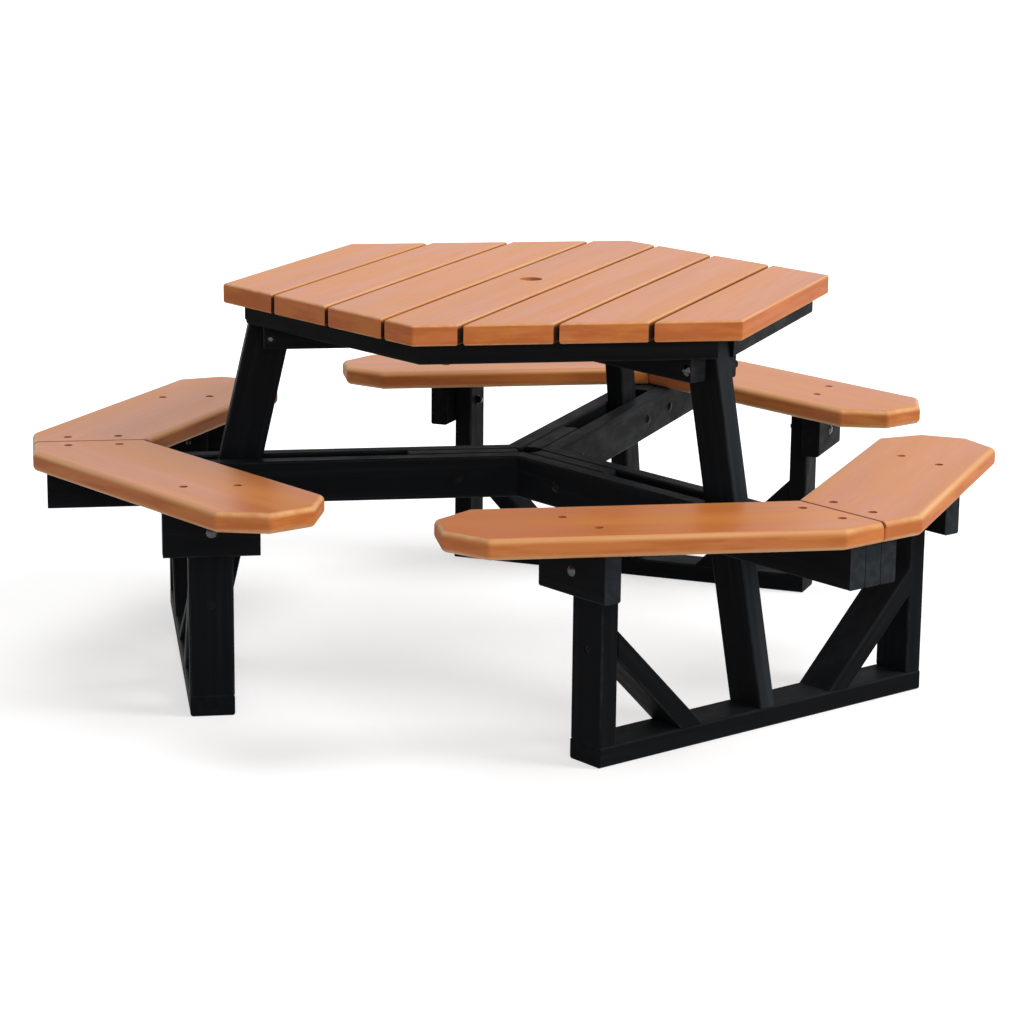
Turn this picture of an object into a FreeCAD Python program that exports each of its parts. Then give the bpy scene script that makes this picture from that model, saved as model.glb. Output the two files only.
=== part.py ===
"""Six-sided picnic table with three V-shaped benches on a black board frame. Millimetres, +Z up.

The origin is on the floor, on the table's upright axis. Three like spokes, a, b and c, stand
120 degrees apart. Each spoke is drawn in its own frame and then turned into place: r runs out
from the axis along the spoke, t runs square to it (left, seen from the axis, is positive).
"""
import FreeCAD
import Part
import math
import os

# Overall sizes
table_height = 740.0
seat_height = 438.0

# Boards
board_thickness = 38.0
plank_width = 140.0
plank_gap = 9.5
plank_count = 7
seat_width = 235.0
frame_width = 82.0
plank_rounding = 5.0
seat_rounding = 12.0
frame_rounding = 5.0
frame_end_easing = 1.5

# Table top
rim_inset = 27.0
umbrella_hole_diameter = 45.0
top_cleat_depth = 45.0
top_cleat_inner_end = 60.0
top_cleat_inset = 74.0

# Benches
seat_outer_flat = 884.0
seat_nose_cut = 54.0
seat_end_reach = 286.0
seat_corner_clip = 70.0
mitre_gap = 1.0
mitre_rounding = 4.0

# Spoke beams and legs
beam_nose_setback = 25.0
hub_opening = 46.0
hub_spacer_end = 240.0
nose_spacer_gap = 60.0
leg_top_inset = 99.0
leg_clearance = 0.5

# End frames under the benches
sill_length = 807.0
post_setback = 10.0
brace_reach = 206.0
seat_cleat_length = 176.0
seat_cleat_depth = 90.0

# Carriage bolts and flange nuts
bolt_radius = 4.75
bolt_head_radius = 10.5
bolt_head_height = 5.0
bolt_tail = 3.0
bolt_end_chamfer = 1.0
bolt_clearance = 0.4
nut_across_flats = 14.3
nut_height = 8.0
nut_flange_radius = 10.5
nut_flange_height = 2.0
nut_clearance = 0.05
hub_bolt_radius = 150.0
nose_bolt_inset = 40.0

# Screws with a sunk head and a square drive
screw_grip = 24.0
screw_shank_radius = 2.5
screw_head_radius = 8.0
screw_head_height = 3.0
screw_sink = 2.0
screw_point = 7.0
screw_drive_width = 3.2
screw_drive_depth = 2.0
screw_clearance = 0.2
screw_tip_room = 1.0
nose_screw_insets = (42.0, 139.0)
seat_cleat_screw_spacing = 97.0
post_screw_spacing = 40.0
leg_screw_spacing = 30.0
plank_edge_screw_distance = 12.0
rim_edge_screw_distance = 18.0
outer_plank_screw_spacing = 300.0
batten_screw_offset = 20.0

# Levels and places that follow from the sizes above
origin = FreeCAD.Vector(0, 0, 0)
outward = FreeCAD.Vector(1, 0, 0)
across = FreeCAD.Vector(0, 1, 0)
up = FreeCAD.Vector(0, 0, 1)
spoke_angles = {"a": 90.0, "b": 210.0, "c": 330.0}
sides = {"left": 1, "right": -1}
cos30 = math.cos(math.radians(30))
sin30 = math.sin(math.radians(30))
tan30 = math.tan(math.radians(30))
tan60 = math.tan(math.radians(60))
tiny = 1e-6

plank_pitch = plank_width + plank_gap
top_apothem = (plank_count * plank_pitch - plank_gap) / 2
top_corner = top_apothem / cos30
plank_bottom = table_height - board_thickness
rim_bottom = plank_bottom - board_thickness
rim_outer = top_apothem - rim_inset
rim_inner = rim_outer - frame_width
rim_middle = rim_outer - frame_width / 2
top_cleat_bottom = rim_bottom - top_cleat_depth
top_cleat_outer_end = top_corner - top_cleat_inset
seat_bottom = seat_height - board_thickness
beam_bottom = seat_bottom - frame_width
beam_middle = seat_bottom - frame_width / 2
seat_cleat_bottom = seat_bottom - seat_cleat_depth
seat_cleat_middle = seat_bottom - seat_cleat_depth / 2
half_board = board_thickness / 2
half_beam = half_board + board_thickness
seat_inner_flat = seat_outer_flat - seat_width
seat_nose_reach = seat_outer_flat / cos30 - seat_nose_cut
beam_outer_end = seat_nose_reach - beam_nose_setback
post_outer = sill_length / 2
post_inner = post_outer - board_thickness
post_middle = post_outer - half_board
post_line = seat_outer_flat - seat_width / 2 - post_setback
leg_foot_radius = (post_line - post_middle * sin30) / cos30
leg_top_radius = top_corner - leg_top_inset
sill_inner = leg_foot_radius - frame_width / 2
sill_outer = leg_foot_radius + frame_width / 2
leg_slope = (leg_foot_radius - leg_top_radius) / (plank_bottom - board_thickness)
leg_half_width = frame_width / math.cos(math.atan(leg_slope)) / 2
brace_cut_length = board_thickness * math.sqrt(2)
brace_screw_place = 2 * brace_cut_length / 3
two_boards = 2 * board_thickness
three_boards = 3 * board_thickness
screw_tip = board_thickness + screw_grip


def leg_radius(height):
    """Distance of the leg's middle line from the axis at a height."""
    return leg_foot_radius - leg_slope * (height - board_thickness)


nose_spacer_start = leg_radius(beam_bottom) + leg_half_width + nose_spacer_gap


def on_edge_board(side, square, along):
    """(r, t) of a point on a board that lies along one edge of the hexagon beside a spoke.

    square is the distance from the axis to the board's line, and along runs from the middle
    of that edge away from the spoke.
    """
    r = square * cos30 - along * sin30
    t = side * (square * sin30 + along * cos30)
    return r, t


def box(r_range, t_range, z_range):
    corner = FreeCAD.Vector(r_range[0], t_range[0], z_range[0])
    sizes = [high - low for low, high in (r_range, t_range, z_range)]
    return Part.makeBox(sizes[0], sizes[1], sizes[2], corner)


def prism(points, step):
    """Closed outline through the points, pushed along step."""
    outline = Part.makePolygon(points + points[:1])
    return Part.Face(outline).extrude(step)


def slab(outline, z_range):
    """Flat board from an outline of (r, t) points."""
    points = [FreeCAD.Vector(r, t, z_range[0]) for r, t in outline]
    return prism(points, up * (z_range[1] - z_range[0]))


def parallel(first, second):
    return first.cross(second).Length < tiny * first.Length * second.Length


def frame_board(shape, run):
    """Round a frame board's edges along its run, and ease the ends that are cut square to it."""
    long_edges = []
    for edge in shape.Edges:
        if parallel(edge.Vertexes[1].Point - edge.Vertexes[0].Point, run):
            long_edges.append(edge)
    rounded = shape.makeFillet(frame_rounding, long_edges)
    end_edges = []
    for face in rounded.Faces:
        if isinstance(face.Surface, Part.Plane) and parallel(face.Surface.Axis, run):
            end_edges += face.Edges
    return rounded.makeFillet(frame_end_easing, end_edges) if end_edges else rounded


def side_range(side, near, far):
    """Range of t between two distances from the spoke's middle plane, on one side."""
    return tuple(sorted((side * near, side * far)))


def turned(shape, spoke):
    placed = shape.copy()
    placed.rotate(origin, up, spoke_angles[spoke])
    return placed


def turned_point(r, t, z, spoke):
    angle = math.radians(spoke_angles[spoke])
    x = r * math.cos(angle) - t * math.sin(angle)
    y = r * math.sin(angle) + t * math.cos(angle)
    return FreeCAD.Vector(x, y, z)


# Table top
def plank(number):
    """One top plank: a strip along Y, cut to the hexagon's outline."""
    left = -top_apothem + number * plank_pitch
    right = left + plank_width
    stations = [left, right]
    if left < 0 < right:
        stations = [left, 0.0, right]
    front = [(x, abs(x) * tan30 - top_corner) for x in stations]
    back = [(x, top_corner - abs(x) * tan30) for x in reversed(stations)]
    strip = slab(front + back, (plank_bottom, table_height))
    free_edges = [edge for edge in strip.Edges if not beside_gap(edge)]
    strip = strip.makeFillet(plank_rounding, free_edges)
    if len(stations) == 3:
        strip = strip.cut(umbrella_bore(plank_bottom, table_height))
    return strip


def beside_gap(edge):
    """True for a plank's upright edge that isn't at a corner of the hexagon."""
    bounds = edge.BoundBox
    upright = bounds.ZLength > tiny
    at_corner = abs(bounds.XMin) < tiny or abs(bounds.XMin) > top_apothem - tiny
    return upright and not at_corner


def umbrella_bore(bottom, top):
    return Part.makeCylinder(umbrella_hole_diameter / 2, top - bottom, up * bottom)


def beside_leg(square):
    """How far along an edge board the leg's side is met, on a line at a distance from the axis."""
    return (half_board + leg_clearance - square * sin30) / cos30


def rim_board(side):
    """Flat board under the plank ends: cut along the leg's side, mitred at the next corner."""
    outline = [
        on_edge_board(side, rim_inner, beside_leg(rim_inner)),
        on_edge_board(side, rim_outer, beside_leg(rim_outer)),
        on_edge_board(side, rim_outer, rim_outer * tan30),
        on_edge_board(side, rim_inner, rim_inner * tan30),
    ]
    board = slab(outline, (rim_bottom, plank_bottom))
    run = FreeCAD.Vector(*on_edge_board(side, 0, 1), 0)
    return frame_board(board, run)


def centre_batten():
    """Flat board across the planks' middles, between the two rim boards that run along them."""
    z_range = (rim_bottom, plank_bottom)
    batten = box((-rim_inner, rim_inner), (-frame_width / 2, frame_width / 2), z_range)
    batten = frame_board(batten, outward)
    return batten.cut(umbrella_bore(rim_bottom, plank_bottom))


def top_cleats():
    """Pair of boards that clasp the leg's top and carry the rim and the batten."""
    pair = []
    for side in sides.values():
        cleat = box(
            (top_cleat_inner_end, top_cleat_outer_end),
            side_range(side, half_board, half_beam),
            (top_cleat_bottom, rim_bottom),
        )
        pair.append(frame_board(cleat, outward))
    return pair


# Spokes
def leg():
    """Leaning board from the sill to the underside of the planks."""
    outline = [
        (leg_foot_radius - leg_half_width, board_thickness),
        (leg_foot_radius + leg_half_width, board_thickness),
        (leg_top_radius + leg_half_width, plank_bottom),
        (leg_top_radius - leg_half_width, plank_bottom),
    ]
    points = [FreeCAD.Vector(r, -half_board, z) for r, z in outline]
    board = prism(points, across * board_thickness)
    return frame_board(board, FreeCAD.Vector(-leg_slope, 0, 1))


def beam_board(side):
    """Side board of a spoke's double beam, mitred at the hub against the next spoke's board."""
    outline = [
        (half_board / tan60, side * half_board),
        (beam_outer_end, side * half_board),
        (beam_outer_end, side * half_beam),
        (half_beam / tan60, side * half_beam),
    ]
    board = slab(outline, (beam_bottom, seat_bottom))
    return frame_board(board, outward)


def beam_spacers():
    """Filler boards between the two beam boards, at the hub and at the nose."""
    spacers = []
    for r_range in ((hub_opening / 2, hub_spacer_end), (nose_spacer_start, beam_outer_end)):
        spacer = box(r_range, (-half_board, half_board), (beam_bottom, seat_bottom))
        spacers.append(frame_board(spacer, outward))
    return spacers


def seat_board(side):
    """Half of a V bench: mitred over the beam with a rounded lip, a cut nose and a clipped free end."""
    half_gap = mitre_gap / 2
    nose_half_width = (seat_outer_flat - seat_nose_reach * cos30) / sin30
    mitre_inner = (seat_inner_flat - half_gap * sin30) / cos30
    clip_start = seat_end_reach - seat_corner_clip
    outline = [
        (mitre_inner, side * half_gap),
        (seat_nose_reach, side * half_gap),
        (seat_nose_reach, side * nose_half_width),
        on_edge_board(side, seat_outer_flat, clip_start),
        on_edge_board(side, seat_outer_flat - seat_corner_clip, seat_end_reach),
        on_edge_board(side, seat_inner_flat + seat_corner_clip, seat_end_reach),
        on_edge_board(side, seat_inner_flat, clip_start),
    ]
    board = slab(outline, (seat_bottom, seat_height))
    free_edges = []
    for edge in board.Edges:
        if any(abs(vertex.Y) > half_gap + tiny for vertex in edge.Vertexes):
            free_edges.append(edge)
    rounded = board.makeFillet(seat_rounding, free_edges)
    mitre_edges = []
    for edge in rounded.Edges:
        if all(abs(abs(vertex.Y) - half_gap) < tiny for vertex in edge.Vertexes):
            mitre_edges.append(edge)
    return rounded.makeFillet(mitre_rounding, mitre_edges)


# End frames
def sill():
    """Flat floor board square to the spoke."""
    board = box((sill_inner, sill_outer), (-post_outer, post_outer), (0, board_thickness))
    return frame_board(board, across)


def post(side):
    """Upright from the sill's end to the underside of the bench."""
    t_range = side_range(side, post_inner, post_outer)
    board = box((sill_inner, sill_outer), t_range, (board_thickness, seat_bottom))
    return frame_board(board, up)


def brace(side):
    """Diagonal board between the post's inner face and the sill."""
    foot = post_inner - brace_reach
    head = board_thickness + brace_reach
    outline = [
        (foot, board_thickness),
        (post_inner, head),
        (post_inner, head - brace_cut_length),
        (foot + brace_cut_length, board_thickness),
    ]
    points = [FreeCAD.Vector(sill_inner, side * t, z) for t, z in outline]
    board = prism(points, outward * frame_width)
    return frame_board(board, across * side + up)


def seat_cleat(side):
    """Board on the post's outer face that carries the bench."""
    half_length = seat_cleat_length / 2
    cleat = box(
        (leg_foot_radius - half_length, leg_foot_radius + half_length),
        side_range(side, post_outer, post_outer + board_thickness),
        (seat_cleat_bottom, seat_bottom),
    )
    return frame_board(cleat, outward)


# Fasteners, each drawn once about +Z with its seat face at the origin, then set in place
def lathe(edges):
    """Solid turned about Z from a closed profile of edges in the XZ plane."""
    return Part.Face(Part.Wire(edges)).revolve(origin, up, 360)


def profile_lines(points):
    """Straight edges through (radius, height) points."""
    places = [FreeCAD.Vector(radius, 0, height) for radius, height in points]
    return [Part.makeLine(first, second) for first, second in zip(places, places[1:])]


def carriage_bolt(grip):
    """Domed head below the seat face, shank up through the boards that it grips to past the nut."""
    shank_end = grip + nut_height + bolt_tail
    crown = (0, -bolt_head_height)
    rim = (bolt_head_radius, 0)
    dome_radius = (bolt_head_radius ** 2 + bolt_head_height ** 2) / (2 * bolt_head_height)
    half_way = math.asin(bolt_head_radius / dome_radius) / 2
    dome_centre = dome_radius - bolt_head_height
    between = (dome_radius * math.sin(half_way), dome_centre - dome_radius * math.cos(half_way))
    dome = Part.Arc(*[FreeCAD.Vector(radius, 0, height) for radius, height in (crown, between, rim)])
    shank = [
        rim,
        (bolt_radius, 0),
        (bolt_radius, shank_end - bolt_end_chamfer),
        (bolt_radius - bolt_end_chamfer, shank_end),
        (0, shank_end),
        crown,
    ]
    return lathe([dome.toShape()] + profile_lines(shank))


def flange_nut(grip):
    """Hexagon nut with its own washer, on the far face of the gripped boards."""
    seat = up * grip
    flange = Part.makeCylinder(nut_flange_radius, nut_flange_height, seat)
    corner_radius = nut_across_flats / 2 / cos30
    corners = []
    for step in range(6):
        angle = math.tau * step / 6
        corners.append(seat + FreeCAD.Vector(math.cos(angle), math.sin(angle), 0) * corner_radius)
    body = prism(corners, up * nut_height)
    hole = Part.makeCylinder(bolt_radius + nut_clearance, nut_height, seat)
    return flange.fuse(body).cut(hole).removeSplitter()


def bolt_hole(grip):
    return Part.makeCylinder(bolt_radius + bolt_clearance, grip)


def screw():
    """Screw whose head lies just below the face that it goes in by."""
    head_bottom = screw_sink + screw_head_height
    body = [
        (0, screw_sink),
        (screw_head_radius, screw_sink),
        (screw_head_radius, head_bottom),
        (screw_shank_radius, head_bottom),
        (screw_shank_radius, screw_tip - screw_point),
        (0, screw_tip),
        (0, screw_sink),
    ]
    half = screw_drive_width / 2
    drive = box((-half, half), (-half, half), (screw_sink, screw_sink + screw_drive_depth))
    return lathe(profile_lines(body)).cut(drive)


def screw_hole():
    """Counterbore for the head and a close hole for the shank."""
    bore = Part.makeCylinder(screw_head_radius + screw_clearance, screw_sink + screw_head_height)
    shaft = Part.makeCylinder(screw_shank_radius + screw_clearance, screw_tip + screw_tip_room)
    return bore.fuse(shaft)


def set_in(shape, places):
    """A copy of a fastener or of its hole at each place."""
    copies = []
    for seat, direction in places:
        copy = shape.copy()
        copy.Placement = FreeCAD.Placement(seat, FreeCAD.Rotation(up, direction))
        copies.append(copy)
    return copies


def beam_bolt_places(spoke):
    """Seat face of each bolt head on a spoke's beam, and the way that its shank runs."""
    along = turned_point(0, 1, 0, spoke)
    radii = (leg_radius(beam_middle), hub_bolt_radius, nose_spacer_start + nose_bolt_inset)
    return [(turned_point(radius, -half_beam, beam_middle, spoke), along) for radius in radii]


def top_bolt_places(spoke):
    """The bolt through a leg's top and the cleats on both sides of it."""
    height = top_cleat_bottom + top_cleat_depth / 2
    along = turned_point(0, 1, 0, spoke)
    return [(turned_point(leg_radius(height), -half_beam, height, spoke), along)]


def post_bolt_places(spoke):
    """The bolts through the bench cleats and the posts behind them, heads outward."""
    places = []
    cleat_face = post_outer + board_thickness
    for side in sides.values():
        head_face = turned_point(leg_foot_radius, side * cleat_face, seat_cleat_middle, spoke)
        places.append((head_face, turned_point(0, -side, 0, spoke)))
    return places


def seat_screw_places(spoke):
    """Screws down through the benches into the beams and the outer cleats."""
    places = []
    for side in sides.values():
        spots = [(beam_outer_end - inset, side * board_thickness) for inset in nose_screw_insets]
        for step in (-1, 1):
            radius = leg_foot_radius + step * seat_cleat_screw_spacing / 2
            spots.append((radius, side * (post_outer + half_board)))
        places += [(turned_point(r, t, seat_height, spoke), up * -1) for r, t in spots]
    return places


def frame_screw_places(spoke):
    """Screws up through the sill, and through the posts into the braces."""
    places = []
    for step in (-1, 1):
        r = leg_foot_radius + step * leg_screw_spacing / 2
        places.append((turned_point(r, 0, 0, spoke), up))
    brace_foot = post_inner - brace_reach + brace_screw_place
    brace_head = board_thickness + brace_reach - brace_screw_place
    for side in sides.values():
        for step in (-1, 1):
            r = leg_foot_radius + step * post_screw_spacing / 2
            places.append((turned_point(r, side * post_middle, 0, spoke), up))
        places.append((turned_point(leg_foot_radius, side * brace_foot, 0, spoke), up))
        inward = turned_point(0, -side, 0, spoke)
        places.append((turned_point(leg_foot_radius, side * post_outer, brace_head, spoke), inward))
    return places


def top_screw_places():
    """Screws up through the cleats into the rim, and through the rim and batten into the planks."""
    places = []
    plank_lines = (plank_width / 2 - plank_edge_screw_distance, plank_pitch, 2 * plank_pitch)
    for spoke in spoke_angles:
        for side in sides.values():
            r = (rim_inner + rim_edge_screw_distance - board_thickness * sin30) / cos30
            places.append((turned_point(r, side * board_thickness, top_cleat_bottom, spoke), up))
    for x_side in (-1, 1):
        for y_side in (-1, 1):
            for x in plank_lines:
                y = (rim_middle - x * sin30) / cos30
                places.append((FreeCAD.Vector(x_side * x, y_side * y, rim_bottom), up))
            y = outer_plank_screw_spacing / 2
            places.append((FreeCAD.Vector(x_side * rim_middle, y_side * y, rim_bottom), up))
        for x in plank_lines:
            places.append((FreeCAD.Vector(x_side * x, batten_screw_offset, rim_bottom), up))
    return places


def boards():
    """Every board by node name, each as a list of solids."""
    pieces = {"centre_batten": [centre_batten()]}
    for number in range(plank_count):
        pieces[f"plank_{number + 1}"] = [plank(number)]
    for spoke in spoke_angles:
        whole = {
            "leg": [leg()],
            "top_cleats": top_cleats(),
            "beam_spacers": beam_spacers(),
            "sill": [sill()],
        }
        for name, shapes in whole.items():
            pieces[f"{name}_{spoke}"] = [turned(shape, spoke) for shape in shapes]
        for side_name, side in sides.items():
            handed = {
                "rim": [rim_board(side)],
                "beam": [beam_board(side)],
                "seat": [seat_board(side)],
                "post": [post(side)],
                "brace": [brace(side)],
                "seat_cleat": [seat_cleat(side)],
            }
            for name, shapes in handed.items():
                pieces[f"{name}_{spoke}_{side_name}"] = [turned(shape, spoke) for shape in shapes]
    return pieces


def drilled(board, holes):
    """Board less the holes that reach it."""
    reach = [hole for hole in holes if board.BoundBox.intersect(hole.BoundBox)]
    return board.cut(reach) if reach else board


def on_spokes(places_of):
    """Places of one kind of fastener on all three spokes."""
    return [place for spoke in spoke_angles for place in places_of(spoke)]


def main():
    os.makedirs("parts", exist_ok=True)
    beam_bolts = on_spokes(beam_bolt_places)
    top_bolts = on_spokes(top_bolt_places)
    post_bolts = on_spokes(post_bolt_places)
    seat_screws = on_spokes(seat_screw_places)
    frame_screws = on_spokes(frame_screw_places) + top_screw_places()
    holes = set_in(bolt_hole(three_boards), beam_bolts + top_bolts)
    holes += set_in(bolt_hole(two_boards), post_bolts)
    holes += set_in(screw_hole(), seat_screws + frame_screws)
    nodes = {}
    for name, shapes in boards().items():
        nodes[name] = [drilled(shape, holes) for shape in shapes]
    nodes["beam_bolts"] = set_in(carriage_bolt(three_boards), beam_bolts)
    nodes["beam_nuts"] = set_in(flange_nut(three_boards), beam_bolts)
    nodes["cleat_bolts"] = set_in(carriage_bolt(three_boards), top_bolts)
    nodes["cleat_bolts"] += set_in(carriage_bolt(two_boards), post_bolts)
    nodes["cleat_nuts"] = set_in(flange_nut(three_boards), top_bolts)
    nodes["cleat_nuts"] += set_in(flange_nut(two_boards), post_bolts)
    nodes["seat_screws"] = set_in(screw(), seat_screws)
    nodes["frame_screws"] = set_in(screw(), frame_screws)
    for name, shapes in nodes.items():
        solids = [solid for shape in shapes for solid in shape.Solids]
        whole = solids[0] if len(solids) == 1 else Part.makeCompound(solids)
        whole.exportStep(f"parts/{name}.step")
    print(len(nodes), "nodes,", sum(len(shapes) for shapes in nodes.values()), "pieces")


main()
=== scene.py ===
"""Looks of the six-sided picnic table: streaked plastic-lumber boards, a black frame, bolts and screws.

Metres, +Z up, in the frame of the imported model. Spokes a, b and c carry one V bench each.
"""
import bpy
import math
from mathutils import Matrix, Vector


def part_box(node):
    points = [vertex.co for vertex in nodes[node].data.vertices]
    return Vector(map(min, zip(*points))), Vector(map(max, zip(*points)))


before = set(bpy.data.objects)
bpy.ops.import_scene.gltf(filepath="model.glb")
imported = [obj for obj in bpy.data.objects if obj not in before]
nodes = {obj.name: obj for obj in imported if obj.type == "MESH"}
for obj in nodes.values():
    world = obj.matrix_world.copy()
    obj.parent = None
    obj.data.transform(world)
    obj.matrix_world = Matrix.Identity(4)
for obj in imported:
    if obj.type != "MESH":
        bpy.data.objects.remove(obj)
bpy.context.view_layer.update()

# Layout of the table, angles in degrees
UP = Vector((0, 0, 1))
ALONG_PLANKS = Vector((0, 1, 0))
ACROSS_PLANKS = Vector((1, 0, 0))
SPOKE_ANGLES = {"a": 90.0, "b": 210.0, "c": 330.0}
SIDES = {"left": 1, "right": -1}
EDGE_TURN = 120.0
LEG_RISE = 0.664
LEG_LEAN = 0.152
PLANK_COUNT = 7
TABLE_HEIGHT = 0.740
SEAT_HEIGHT = 0.438
HOLED_PLANK = "plank_4"
HOLE_RADIUS = 0.0225

# Nodes by what they are made of; all others are black boards
CEDAR_KINDS = ("plank_", "seat_a_", "seat_b_", "seat_c_")
# Black boards whose faces looking out from the axis get painted light
PAINTED_LIGHT_KINDS = ("leg", "beam", "top_cleats", "seat_cleat")
ZINC_NODES = ("cleat_bolts",)
DARK_STEEL_NODES = ("cleat_nuts", "beam_bolts", "beam_nuts", "frame_screws")
SCREW_NODES = ("seat_screws",)

# Camera, as the photograph sees the table
CAMERA_EYE = Vector((1.9703, -5.2934, 1.6032))
CAMERA_AZIMUTH = math.radians(-69.257)
CAMERA_ELEVATION = math.radians(13.2535)
CAMERA_ROLL = math.radians(0.6045)
CAMERA_LENS = 102.73
CAMERA_SENSOR = 36.0

# Colours, linear
CEDAR_DARK = (0.440, 0.118, 0.024)
CEDAR_MIDDLE = (0.535, 0.162, 0.035)
CEDAR_LIGHT = (0.640, 0.250, 0.085)
CEDAR_PINK = (0.520, 0.158, 0.058)
CEDAR_GOLD = (0.580, 0.222, 0.046)
CEDAR_BAND = (0.410, 0.105, 0.021)
# Rounded cedar edges: rubbed paler, and a painted highlight
CEDAR_RUBBED_HIGHLIGHT = (0.690, 0.400, 0.180)
# Painted shade: dark browns for the gaps between planks and the lips of the bench mitres
GAP_SHADE_BROWN = (0.045, 0.014, 0.005)
MITRE_SHADE_BROWN = (0.200, 0.056, 0.024)
BLACK_DEEP = (0.0068, 0.0074, 0.0084)
BLACK_WORN = (0.0165, 0.0185, 0.0215)
# Lighter grey for worn black edges with a painted highlight, and painted light on outward faces
BLACK_WORN_AND_LIT_GREY = (0.0270, 0.0320, 0.0360)
ZINC_BRIGHT = (0.075, 0.075, 0.080)
ZINC_DULL = (0.040, 0.040, 0.044)
STEEL_BLACK = (0.0040, 0.0040, 0.0045)
STEEL_RUBBED = (0.0120, 0.0120, 0.0130)
SCREW_BROWN = (0.150, 0.046, 0.026)
SCREW_WORN = (0.240, 0.095, 0.064)
FLOOR_GREY = (0.60, 0.60, 0.60)
WHITE = (1.0, 1.0, 1.0)

# Noise on a board: its stretch along, across and out of the board, its detail,
# and the axes on which it is shifted from board to board
CEDAR_NOISES = {
    "broad": {"stretch": (0.9, 14.0, 14.0), "detail": 3.0, "shifted": (1, 1, 0)},
    "medium": {"stretch": (2.0, 60.0, 60.0), "detail": 4.0, "shifted": (0, 1, 1)},
    "fine": {"stretch": (7.0, 420.0, 420.0), "detail": 3.0, "shifted": (1, 0, 0)},
    "cloud": {"stretch": (3.0, 7.0, 7.0), "detail": 2.0, "shifted": (0, 0, 1)},
    "golden": {"stretch": (1.6, 17.0, 17.0), "detail": 3.0, "shifted": (1, 0, 1)},
    "band": {"stretch": (5.0, 8.0, 48.0), "detail": 3.0, "shifted": (1, 0, 1)},
    "peel": {"stretch": (240.0, 240.0, 240.0), "detail": 2.0},
}
BLACK_NOISES = {
    "streak": {"stretch": (2.0, 60.0, 60.0), "detail": 4.0},
    "fine": {"stretch": (8.0, 400.0, 400.0), "detail": 3.0},
    "scuff": {"stretch": (14.0, 30.0, 30.0), "detail": 6.0, "roughness": 0.7},
}
BOARD_SHIFT = 7.31
NO_SHIFT = (0, 0, 0)
NOISE_ROUGHNESS = 0.55

# Ranges: the two values between which something comes in, and its share at the first and at the second
CEDAR_BASE = (0.25, 0.65, 0.25, 1.0)
CEDAR_STRIPE = (0.42, 0.62, 0.0, 0.75)
CEDAR_UPRIGHT = (0.10, 0.60, 1.0, 0.0)
# Share of the rubbed colour and painted highlight on rounded cedar edges
CEDAR_WEAR_AND_HIGHLIGHT = (0.35, 0.70, 0.45, 0.85)
CEDAR_ROUGHNESS = (0.30, 0.70, 0.35, 0.40)
CEDAR_GLOSS_STREAKS = (0.36, 0.68, -0.03, 0.05)
CEDAR_DULL_SIDES = (0.35, 0.95, 0.30, 0.0)
BLACK_STREAKS = (0.45, 0.80, 0.0, 0.50)
# Share of worn grey and painted highlight on rounded black edges
BLACK_WEAR_AND_HIGHLIGHT = (0.40, 0.68, 0.10, 0.90)
BLACK_UPWARD = (0.05, 0.60, 0.0, 1.0)
BLACK_DUST = (0.30, 0.70, 0.35, 0.90)
# Painted light on black faces looking out from the axis, laid in patches
BLACK_LIT_FACING = (0.75, 0.97, 0.0, 1.0)
BLACK_LIT_PATCHES = (0.30, 0.70, 0.55, 1.0)
BLACK_ROUGHNESS = (0.30, 0.70, 0.42, 0.58)
STEEL_PATCHES = (0.45, 0.70, 0.0, 1.0)

# Tints laid over a cedar board one after another: the noise that carries each, its colour and its range
CEDAR_TINTS = (
    ("medium", CEDAR_LIGHT, (0.45, 0.80, 0.0, 0.20)),
    ("cloud", CEDAR_PINK, (0.40, 0.70, 0.0, 0.65)),
    ("golden", CEDAR_GOLD, (0.36, 0.68, 0.0, 0.55)),
    ("fine", CEDAR_DARK, (0.55, 0.80, 0.0, 0.12)),
)

# What brings the middle of a rounded edge to 1
EDGE_GAIN = 4.0

# Gloss, and the strength and depth of each relief
CEDAR_SPECULAR = 0.46
CEDAR_LINES = {"strength": 0.08, "distance": 0.0004}
CEDAR_PEEL = {"strength": 0.08, "distance": 0.0003}
BLACK_SPECULAR = 0.015
BLACK_LINES = {"strength": 0.25, "distance": 0.0004}
BLACK_SCUFFS = {"strength": 0.12, "distance": 0.0010}
STEEL_RELIEF = {"strength": 0.15, "distance": 0.0002}

# Painted shade in the gaps and mitres: the depths between which it comes in, the turns of the surface
# between which it does, the depth where it ends, and its colour
PLANK_GAP_SHADE = {"fade": (0.0012, 0.0100), "turn": (0.55, 0.95), "end": 1.0, "colour": GAP_SHADE_BROWN}
MITRE_GAP_SHADE = {"fade": (0.0, 0.0005), "turn": (0.02, 0.35), "end": 0.009, "colour": MITRE_SHADE_BROWN}
GAP_SHADE_FADE_OUT = 0.004
GAP_SIDE_DEPTH = 0.008

# Painted light on the wall of the hole in the top: how far it reaches past the rim, and how strong it is on
# the wall
HOLE_LIGHT_REACH = 0.004
HOLE_LIGHT_SHARE = 0.8

# Fasteners
STEEL_SPANGLE = {"scale": 900.0, "detail": 3.0}
STEEL_SPANGLE_RANGE = (0.30, 0.70)
STEEL_PATCH_NOISE = {"detail": 4.0, "roughness": 0.65}
ZINC_PLATE = {
    "clean": ZINC_BRIGHT, "rubbed": ZINC_DULL,
    "metallic": 1.0, "specular": 0.5, "grain": 220.0, "roughness": (0.16, 0.30),
}
BLACK_STEEL = {
    "clean": STEEL_BLACK, "rubbed": STEEL_RUBBED,
    "metallic": 0.0, "specular": 0.06, "grain": 300.0, "roughness": (0.30, 0.45),
}
SCREW_COAT = {
    "clean": SCREW_BROWN, "rubbed": SCREW_WORN,
    "metallic": 0.0, "specular": 0.20, "grain": 600.0, "roughness": (0.25, 0.40),
}

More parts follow.
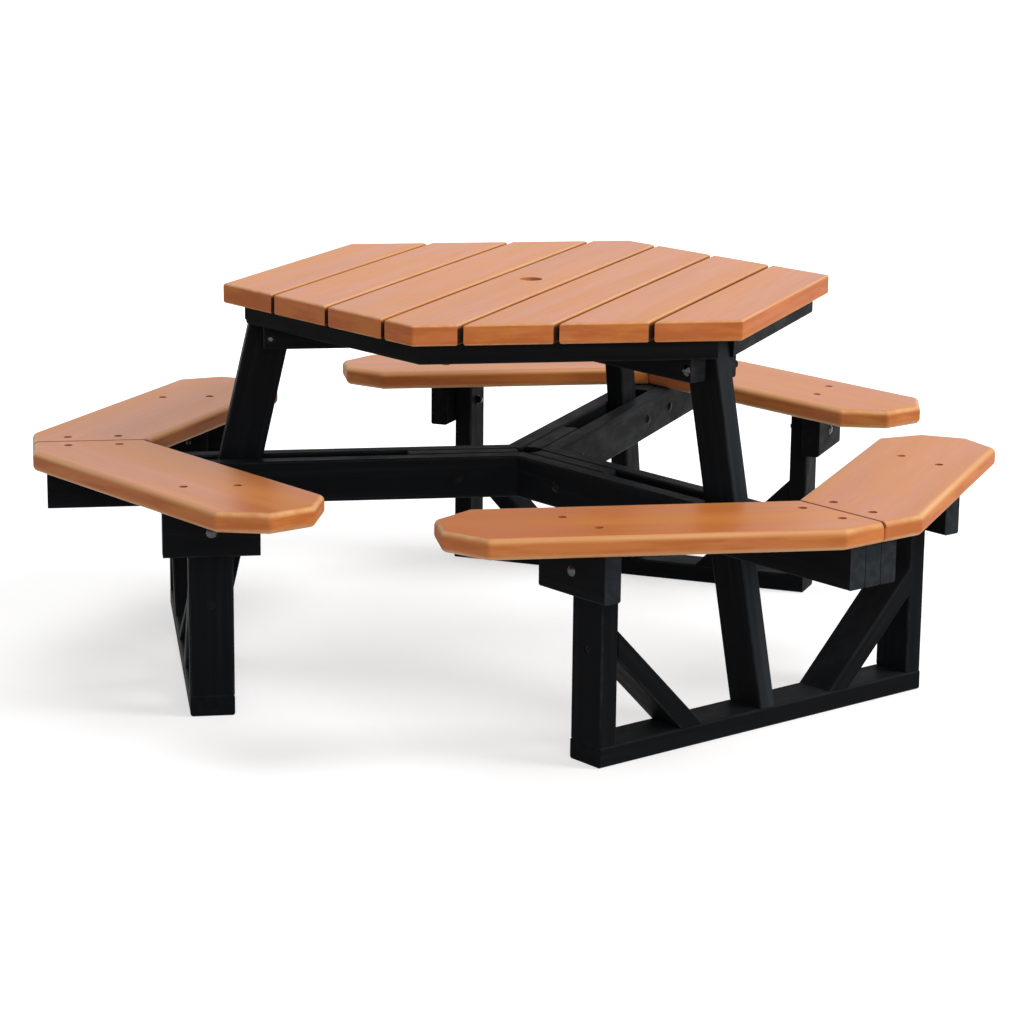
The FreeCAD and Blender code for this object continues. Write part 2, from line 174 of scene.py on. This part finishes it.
# Stage: a pale floor that turns white away from the table, and soft panels, in watts and degrees
FLOOR_SIZE = 60.0
FLOOR_DROP = 0.0004
FLOOR_LIFT = (1.2, 3.0, 0.62, 1.0)
WORLD_LEVEL = 0.20
LAMP_TARGET = Vector((0, 0, 0.45))
LAMPS = {
    "key": {
        "azimuth": 10.0, "elevation": 36.0, "distance": 12.0,
        "width": 4.4, "height": 8.5, "power": 1100.0,
    },
    "overhead": {
        "azimuth": 130.0, "elevation": 75.0, "distance": 6.0,
        "width": 3.5, "height": 3.5, "power": 165.0,
    },
    "fill": {
        "azimuth": -58.0, "elevation": 14.0, "distance": 10.0,
        "width": 8.0, "height": 5.0, "power": 330.0,
    },
}


# Directions
def radial(angle):
    """Level way out from the axis, at an angle in degrees."""
    turn = math.radians(angle)
    return Vector((math.cos(turn), math.sin(turn), 0))


def raised(azimuth, elevation):
    """Way out from the axis at an azimuth and an elevation, both in radians."""
    return Vector((
        math.cos(azimuth) * math.cos(elevation),
        math.sin(azimuth) * math.cos(elevation),
        math.sin(elevation),
    ))


def spoke_of(node):
    """The spoke that a node's name ends with, before left or right."""
    words = node.split("_")
    return words[-2] if words[-1] in SIDES else words[-1]


def board_axes(node):
    """The way a board runs, and the way one of its faces looks."""
    if node.startswith("plank"):
        return ALONG_PLANKS, UP
    if node == "centre_batten":
        return ACROSS_PLANKS, UP
    side = SIDES.get(node.split("_")[-1], 0)
    spoke = spoke_of(node)
    outward = radial(SPOKE_ANGLES[spoke])
    across = UP.cross(outward)
    kind = node[:node.rindex(f"_{spoke}")]
    if kind in ("seat", "rim"):
        return radial(SPOKE_ANGLES[spoke] + side * EDGE_TURN), UP
    if kind == "sill":
        return across, UP
    if kind == "post":
        return UP, across
    if kind == "brace":
        return (across * side + UP).normalized(), outward
    if kind == "leg":
        return (UP * LEG_RISE - outward * LEG_LEAN).normalized(), across
    return outward, UP


def gaps_beside(node):
    """Ways that a cedar board's sides look across a gap to the next board, and how far out they lie."""
    words = node.split("_")
    if words[0] == "seat":
        across = UP.cross(radial(SPOKE_ANGLES[words[1]]))
        return [(-across * SIDES[words[2]], 0.0)]
    low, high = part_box(node)
    number = int(words[1])
    gaps = []
    if number > 1:
        gaps.append((-ACROSS_PLANKS, -low[0]))
    if number < PLANK_COUNT:
        gaps.append((ACROSS_PLANKS, high[0]))
    return gaps


def painted_light_way(node):
    """The way out that a leg's front and a board's end look, where painted light makes them a lighter grey.
    """
    if not node.startswith(PAINTED_LIGHT_KINDS):
        return None
    return radial(SPOKE_ANGLES[spoke_of(node)])


# Node helpers
def new_material(name):
    material = bpy.data.materials.new(name)
    material.use_nodes = True
    return material, material.node_tree


def add(tree, kind, **settings):
    node = tree.nodes.new(kind)
    for name, value in settings.items():
        setattr(node, name, value)
    return node


def feed(tree, socket, value):
    """Link a socket to another, or set its value."""
    if isinstance(value, bpy.types.NodeSocket):
        tree.links.new(value, socket)
    elif socket.type == "RGBA":
        socket.default_value = (*value, 1.0)
    else:
        socket.default_value = value


def object_place(tree):
    return add(tree, "ShaderNodeTexCoord").outputs["Object"]


def scaled(tree, vector, scale, shift):
    node = add(tree, "ShaderNodeMapping")
    feed(tree, node.inputs["Vector"], vector)
    feed(tree, node.inputs["Scale"], scale)
    feed(tree, node.inputs["Location"], shift)
    return node.outputs["Vector"]


def noise(tree, vector, scale, detail, roughness=NOISE_ROUGHNESS):
    node = add(tree, "ShaderNodeTexNoise")
    feed(tree, node.inputs["Vector"], vector)
    feed(tree, node.inputs["Scale"], scale)
    feed(tree, node.inputs["Detail"], detail)
    feed(tree, node.inputs["Roughness"], roughness)
    return node.outputs["Fac"]


def calculate(tree, operation, first, second=0.0, clamp=False):
    node = add(tree, "ShaderNodeMath", operation=operation, use_clamp=clamp)
    feed(tree, node.inputs[0], first)
    feed(tree, node.inputs[1], second)
    return node.outputs[0]


def product(tree, *factors):
    result = factors[0]
    for factor in factors[1:]:
        result = calculate(tree, "MULTIPLY", result, factor)
    return result


def vector_value(tree, operation, first, second=None):
    """Number that comes from one vector or two, such as a length or a dot product."""
    node = add(tree, "ShaderNodeVectorMath", operation=operation)
    feed(tree, node.inputs[0], first)
    if second is not None:
        feed(tree, node.inputs[1], second)
    return node.outputs["Value"]


def spread(tree, value, low, high, new_low=0.0, new_high=1.0):
    """Smooth change from one number to another while a value goes from low to high."""
    node = add(tree, "ShaderNodeMapRange", interpolation_type="SMOOTHSTEP")
    feed(tree, node.inputs["Value"], value)
    feed(tree, node.inputs["From Min"], low)
    feed(tree, node.inputs["From Max"], high)
    feed(tree, node.inputs["To Min"], new_low)
    feed(tree, node.inputs["To Max"], new_high)
    return node.outputs["Result"]


def mixed(tree, factor, first, second):
    node = add(tree, "ShaderNodeMix", data_type="RGBA")
    feed(tree, node.inputs["Factor"], factor)
    feed(tree, node.inputs["A"], first)
    feed(tree, node.inputs["B"], second)
    return node.outputs["Result"]


def bump(tree, height, strength, distance, normal=None):
    node = add(tree, "ShaderNodeBump")
    feed(tree, node.inputs["Height"], height)
    feed(tree, node.inputs["Strength"], strength)
    feed(tree, node.inputs["Distance"], distance)
    if normal is not None:
        feed(tree, node.inputs["Normal"], normal)
    return node.outputs["Normal"]


def board_space(tree, run, face):
    """Object coordinates turned so that X runs along the board and Z looks out of a face."""
    node = add(tree, "ShaderNodeMapping")
    feed(tree, node.inputs["Vector"], object_place(tree))
    feed(tree, node.inputs["Rotation"], Matrix((run, face.cross(run), face)).to_euler())
    return node.outputs["Vector"]


def board_noise(tree, space, stretch, detail, shifted=NO_SHIFT, shift=0.0, roughness=NOISE_ROUGHNESS):
    """Noise stretched over a board, shifted on the marked axes."""
    moved = [mark * shift for mark in shifted]
    return noise(tree, scaled(tree, space, stretch, moved), 1.0, detail, roughness)


def facing(tree, way):
    """How squarely the surface looks a way: 1 straight on, 0 from the side, -1 from behind."""
    normal = add(tree, "ShaderNodeNewGeometry").outputs["Normal"]
    return vector_value(tree, "DOT_PRODUCT", normal, way)


def edge_mask(tree, face):
    """1 half way round a rounded edge between a face and the sides next to it, 0 on the flats."""
    square_on = facing(tree, face)
    squared = product(tree, square_on, square_on)
    rest = calculate(tree, "SUBTRACT", 1.0, squared)
    return calculate(tree, "MULTIPLY", product(tree, squared, rest), EDGE_GAIN, clamp=True)


# Cedar boards
def painted_gap_shade(tree, way, side, top, shade_settings):
    """Painted shade in a gap: 1 on the side that looks across a gap to the next board, fading to 0 at the
    board's top.

    side is how far out that side lies, measured the way that it looks.
    """
    place = object_place(tree)
    depth = calculate(tree, "SUBTRACT", top, vector_value(tree, "DOT_PRODUCT", place, UP))
    deep = spread(tree, depth, *shade_settings["fade"])
    above_end = spread(tree, depth, shade_settings["end"], shade_settings["end"] + GAP_SHADE_FADE_OUT, 1.0, 0.0)
    reach = vector_value(tree, "DOT_PRODUCT", place, way)
    outer = spread(tree, reach, side - 2 * GAP_SIDE_DEPTH, side - GAP_SIDE_DEPTH)
    turned = spread(tree, facing(tree, way), *shade_settings["turn"])
    return product(tree, deep, above_end, outer, turned)


def hole_wall_light(tree):
    """Painted light on the hole's wall: strong on the wall of the hole on the axis, fading to 0 just
    outside its rim.
    """
    level = add(tree, "ShaderNodeVectorMath", operation="MULTIPLY")
    feed(tree, level.inputs[0], object_place(tree))
    feed(tree, level.inputs[1], (1, 1, 0))
    radius = vector_value(tree, "LENGTH", level.outputs["Vector"])
    return spread(tree, radius, HOLE_RADIUS, HOLE_RADIUS + HOLE_LIGHT_REACH, HOLE_LIGHT_SHARE, 0.0)


def cedar_colour(tree, node, face, level, noises):
    """Streaks and clouds of colour, bands on the sides, rubbed edges with a painted highlight, painted
    light on the hole's wall, and painted shade in the gaps.
    """
    colour = mixed(tree, spread(tree, noises["broad"], *CEDAR_BASE), CEDAR_DARK, CEDAR_MIDDLE)
    for carrier, tint, share in CEDAR_TINTS:
        colour = mixed(tree, spread(tree, noises[carrier], *share), colour, tint)
    upright = spread(tree, level, *CEDAR_UPRIGHT)
    stripe = product(tree, upright, spread(tree, noises["band"], *CEDAR_STRIPE))
    colour = mixed(tree, stripe, colour, CEDAR_BAND)
    # Rounded edges rubbed paler, with a painted highlight
    wear_and_highlight = product(tree, edge_mask(tree, face), spread(tree, noises["medium"], *CEDAR_WEAR_AND_HIGHLIGHT))
    colour = mixed(tree, wear_and_highlight, colour, CEDAR_RUBBED_HIGHLIGHT)
    # Painted light on the wall of the hole in the middle plank
    if node == HOLED_PLANK:
        colour = mixed(tree, hole_wall_light(tree), colour, CEDAR_LIGHT)
    is_plank = node.startswith("plank")
    top = TABLE_HEIGHT if is_plank else SEAT_HEIGHT
    # Painted shade in the gaps beside each board and on the lips of the bench mitres
    shade_settings = PLANK_GAP_SHADE if is_plank else MITRE_GAP_SHADE
    for way, side in gaps_beside(node):
        colour = mixed(tree, painted_gap_shade(tree, way, side, top, shade_settings), colour, shade_settings["colour"])
    return colour


def cedar(node, shift):
    """Cedar-coloured plastic lumber: satin faces, duller sides, and fine lines along the board."""
    run, face = board_axes(node)
    material, tree = new_material(f"cedar_{node}")
    shader = tree.nodes["Principled BSDF"]
    space = board_space(tree, run, face)
    noises = {}
    for name, settings in CEDAR_NOISES.items():
        noises[name] = board_noise(tree, space, shift=shift, **settings)
    level = calculate(tree, "ABSOLUTE", facing(tree, face))
    feed(tree, shader.inputs["Base Color"], cedar_colour(tree, node, face, level, noises))
    satin = spread(tree, noises["fine"], *CEDAR_ROUGHNESS)
    streaky = calculate(tree, "ADD", satin, spread(tree, noises["golden"], *CEDAR_GLOSS_STREAKS))
    roughness = calculate(tree, "ADD", streaky, spread(tree, level, *CEDAR_DULL_SIDES))
    feed(tree, shader.inputs["Roughness"], roughness)
    shader.inputs["Specular IOR Level"].default_value = CEDAR_SPECULAR
    lines = bump(tree, noises["fine"], **CEDAR_LINES)
    feed(tree, shader.inputs["Normal"], bump(tree, noises["peel"], normal=lines, **CEDAR_PEEL))
    return material


# Black boards
def black_colour(tree, face, way, noises):
    """Near-black with greyer edges under a painted highlight, dust on top, and painted light where the
    surface looks the given way.
    """
    colour = mixed(tree, spread(tree, noises["streak"], *BLACK_STREAKS), BLACK_DEEP, BLACK_WORN)
    # Worn edges greyer, with a painted highlight
    wear_and_highlight = product(tree, edge_mask(tree, face), spread(tree, noises["scuff"], *BLACK_WEAR_AND_HIGHLIGHT))
    colour = mixed(tree, wear_and_highlight, colour, BLACK_WORN_AND_LIT_GREY)
    settled = spread(tree, facing(tree, UP), *BLACK_UPWARD)
    dust = product(tree, settled, spread(tree, noises["scuff"], *BLACK_DUST))
    colour = mixed(tree, dust, colour, BLACK_WORN)
    if way is None:
        return colour
    # Painted light: faces looking out from the axis mixed toward a lighter grey
    lit_side = spread(tree, facing(tree, way), *BLACK_LIT_FACING)
    fade = product(tree, lit_side, spread(tree, noises["streak"], *BLACK_LIT_PATCHES))
    return mixed(tree, fade, colour, BLACK_WORN_AND_LIT_GREY)


def black(name, run, face, way):
    """Black plastic lumber: dull, scuffed, with fine lines along the board."""
    material, tree = new_material(name)
    shader = tree.nodes["Principled BSDF"]
    space = board_space(tree, run, face)
    noises = {}
    for kind, settings in BLACK_NOISES.items():
        noises[kind] = board_noise(tree, space, **settings)
    feed(tree, shader.inputs["Base Color"], black_colour(tree, face, way, noises))
    feed(tree, shader.inputs["Roughness"], spread(tree, noises["scuff"], *BLACK_ROUGHNESS))
    shader.inputs["Specular IOR Level"].default_value = BLACK_SPECULAR
    lines = bump(tree, noises["fine"], **BLACK_LINES)
    feed(tree, shader.inputs["Normal"], bump(tree, noises["scuff"], normal=lines, **BLACK_SCUFFS))
    return material


# Fasteners
def coated_steel(name, clean, rubbed, metallic, specular, grain, roughness):
    """Plated or painted steel, rubbed or stained in patches."""
    material, tree = new_material(name)
    shader = tree.nodes["Principled BSDF"]
    place = object_place(tree)
    spangle = noise(tree, place, **STEEL_SPANGLE)
    patches = spread(tree, noise(tree, place, grain, **STEEL_PATCH_NOISE), *STEEL_PATCHES)
    feed(tree, shader.inputs["Base Color"], mixed(tree, patches, clean, rubbed))
    shader.inputs["Metallic"].default_value = metallic
    shader.inputs["Specular IOR Level"].default_value = specular
    feed(tree, shader.inputs["Roughness"], spread(tree, spangle, *STEEL_SPANGLE_RANGE, *roughness))
    feed(tree, shader.inputs["Normal"], bump(tree, spangle, **STEEL_RELIEF))
    return material


# Dressing
def dress(node, material):
    mesh = nodes[node].data
    mesh.materials.clear()
    mesh.materials.append(material)


def dress_cedar_boards(boards):
    """A material of its own for each cedar board, so that no two have the same streaks."""
    for number, node in enumerate(boards, start=1):
        dress(node, cedar(node, number * BOARD_SHIFT))


def dress_black_boards(boards):
    """One material for all black boards that run and face alike and get painted light alike."""
    materials = {}
    for node in boards:
        run, face = board_axes(node)
        way = painted_light_way(node)
        key = tuple(round(value, 3) for value in (*run, *face)) + (way is not None,)
        if key not in materials:
            materials[key] = black(f"black_{len(materials) + 1}", run, face, way)
        dress(node, materials[key])


def dress_fasteners():
    plate = coated_steel("zinc_plate", **ZINC_PLATE)
    paint = coated_steel("black_steel", **BLACK_STEEL)
    brown = coated_steel("screw_coat", **SCREW_COAT)
    for names, material in ((ZINC_NODES, plate), (DARK_STEEL_NODES, paint), (SCREW_NODES, brown)):
        for node in names:
            dress(node, material)


def dress_all():
    fasteners = ZINC_NODES + DARK_STEEL_NODES + SCREW_NODES
    boards = [node for node in sorted(nodes) if node not in fasteners]
    dress_cedar_boards([node for node in boards if node.startswith(CEDAR_KINDS)])
    dress_black_boards([node for node in boards if not node.startswith(CEDAR_KINDS)])
    dress_fasteners()


# Stage
def place_in_scene(name, data):
    thing = bpy.data.objects.new(name, data)
    bpy.context.scene.collection.objects.link(thing)
    return thing


def pale_rays(tree):
    """1 for rays from the camera or off gloss and glass, which see the pale background."""
    path = add(tree, "ShaderNodeLightPath")
    seen = calculate(tree, "MAXIMUM", path.outputs["Is Camera Ray"], path.outputs["Is Glossy Ray"])
    return calculate(tree, "MAXIMUM", seen, path.outputs["Is Transmission Ray"])


def pale_floor():
    """Dull floor that keeps the shadow and lifts to white away from the table."""
    material, tree = new_material("pale_floor")
    shader = tree.nodes["Principled BSDF"]
    shader.inputs["Base Color"].default_value = (*FLOOR_GREY, 1.0)
    shader.inputs["Roughness"].default_value = 1.0
    shader.inputs["Specular IOR Level"].default_value = 0.0
    shader.inputs["Emission Color"].default_value = (*WHITE, 1.0)
    lift = spread(tree, vector_value(tree, "LENGTH", object_place(tree)), *FLOOR_LIFT)
    feed(tree, shader.inputs["Emission Strength"], product(tree, pale_rays(tree), lift))
    return material


def make_floor():
    mesh = bpy.data.meshes.new("floor")
    half = FLOOR_SIZE / 2
    corners = [(x, y, -FLOOR_DROP) for x, y in ((-half, -half), (half, -half), (half, half), (-half, half))]
    mesh.from_pydata(corners, [], [(0, 1, 2, 3)])
    mesh.materials.append(pale_floor())
    floor = place_in_scene("floor", mesh)


def make_world():
    world = bpy.data.worlds.new("studio")
    bpy.context.scene.world = world
    world.use_nodes = True
    tree = world.node_tree
    sky = tree.nodes["Background"]
    sky.inputs["Color"].default_value = (*WHITE, 1.0)
    level = add(tree, "ShaderNodeMapRange")
    feed(tree, level.inputs["Value"], pale_rays(tree))
    feed(tree, level.inputs["To Min"], WORLD_LEVEL)
    feed(tree, level.inputs["To Max"], 1.0)
    feed(tree, sky.inputs["Strength"], level.outputs["Result"])


def make_lamp(name, azimuth, elevation, distance, width, height, power):
    """Soft panel aimed at the table's middle, not mirrored in the boards' sheen."""
    lamp = bpy.data.lights.new(name, "AREA")
    lamp.shape = "RECTANGLE"
    lamp.size = width
    lamp.size_y = height
    lamp.energy = power
    holder = place_in_scene(name, lamp)
    holder.visible_glossy = False
    away = raised(math.radians(azimuth), math.radians(elevation))
    holder.location = LAMP_TARGET + away * distance
    holder.rotation_euler = away.to_track_quat("Z", "Y").to_euler()


def make_camera():
    back = raised(CAMERA_AZIMUTH, CAMERA_ELEVATION)
    right = Vector((-math.sin(CAMERA_AZIMUTH), math.cos(CAMERA_AZIMUTH), 0))
    upward = back.cross(right)
    rolled_right = right * math.cos(CAMERA_ROLL) + upward * math.sin(CAMERA_ROLL)
    rolled_up = upward * math.cos(CAMERA_ROLL) - right * math.sin(CAMERA_ROLL)
    lens = bpy.data.cameras.new("camera")
    lens.lens = CAMERA_LENS
    lens.sensor_width = CAMERA_SENSOR
    camera = place_in_scene("camera", lens)
    turn = Matrix((rolled_right, rolled_up, back)).transposed()
    camera.matrix_world = Matrix.Translation(CAMERA_EYE) @ turn.to_4x4()
    bpy.context.scene.camera = camera


dress_all()
make_floor()
make_world()
for lamp_name, lamp_settings in LAMPS.items():
    make_lamp(lamp_name, **lamp_settings)
make_camera()
bpy.context.scene.view_settings.view_transform = "Standard"
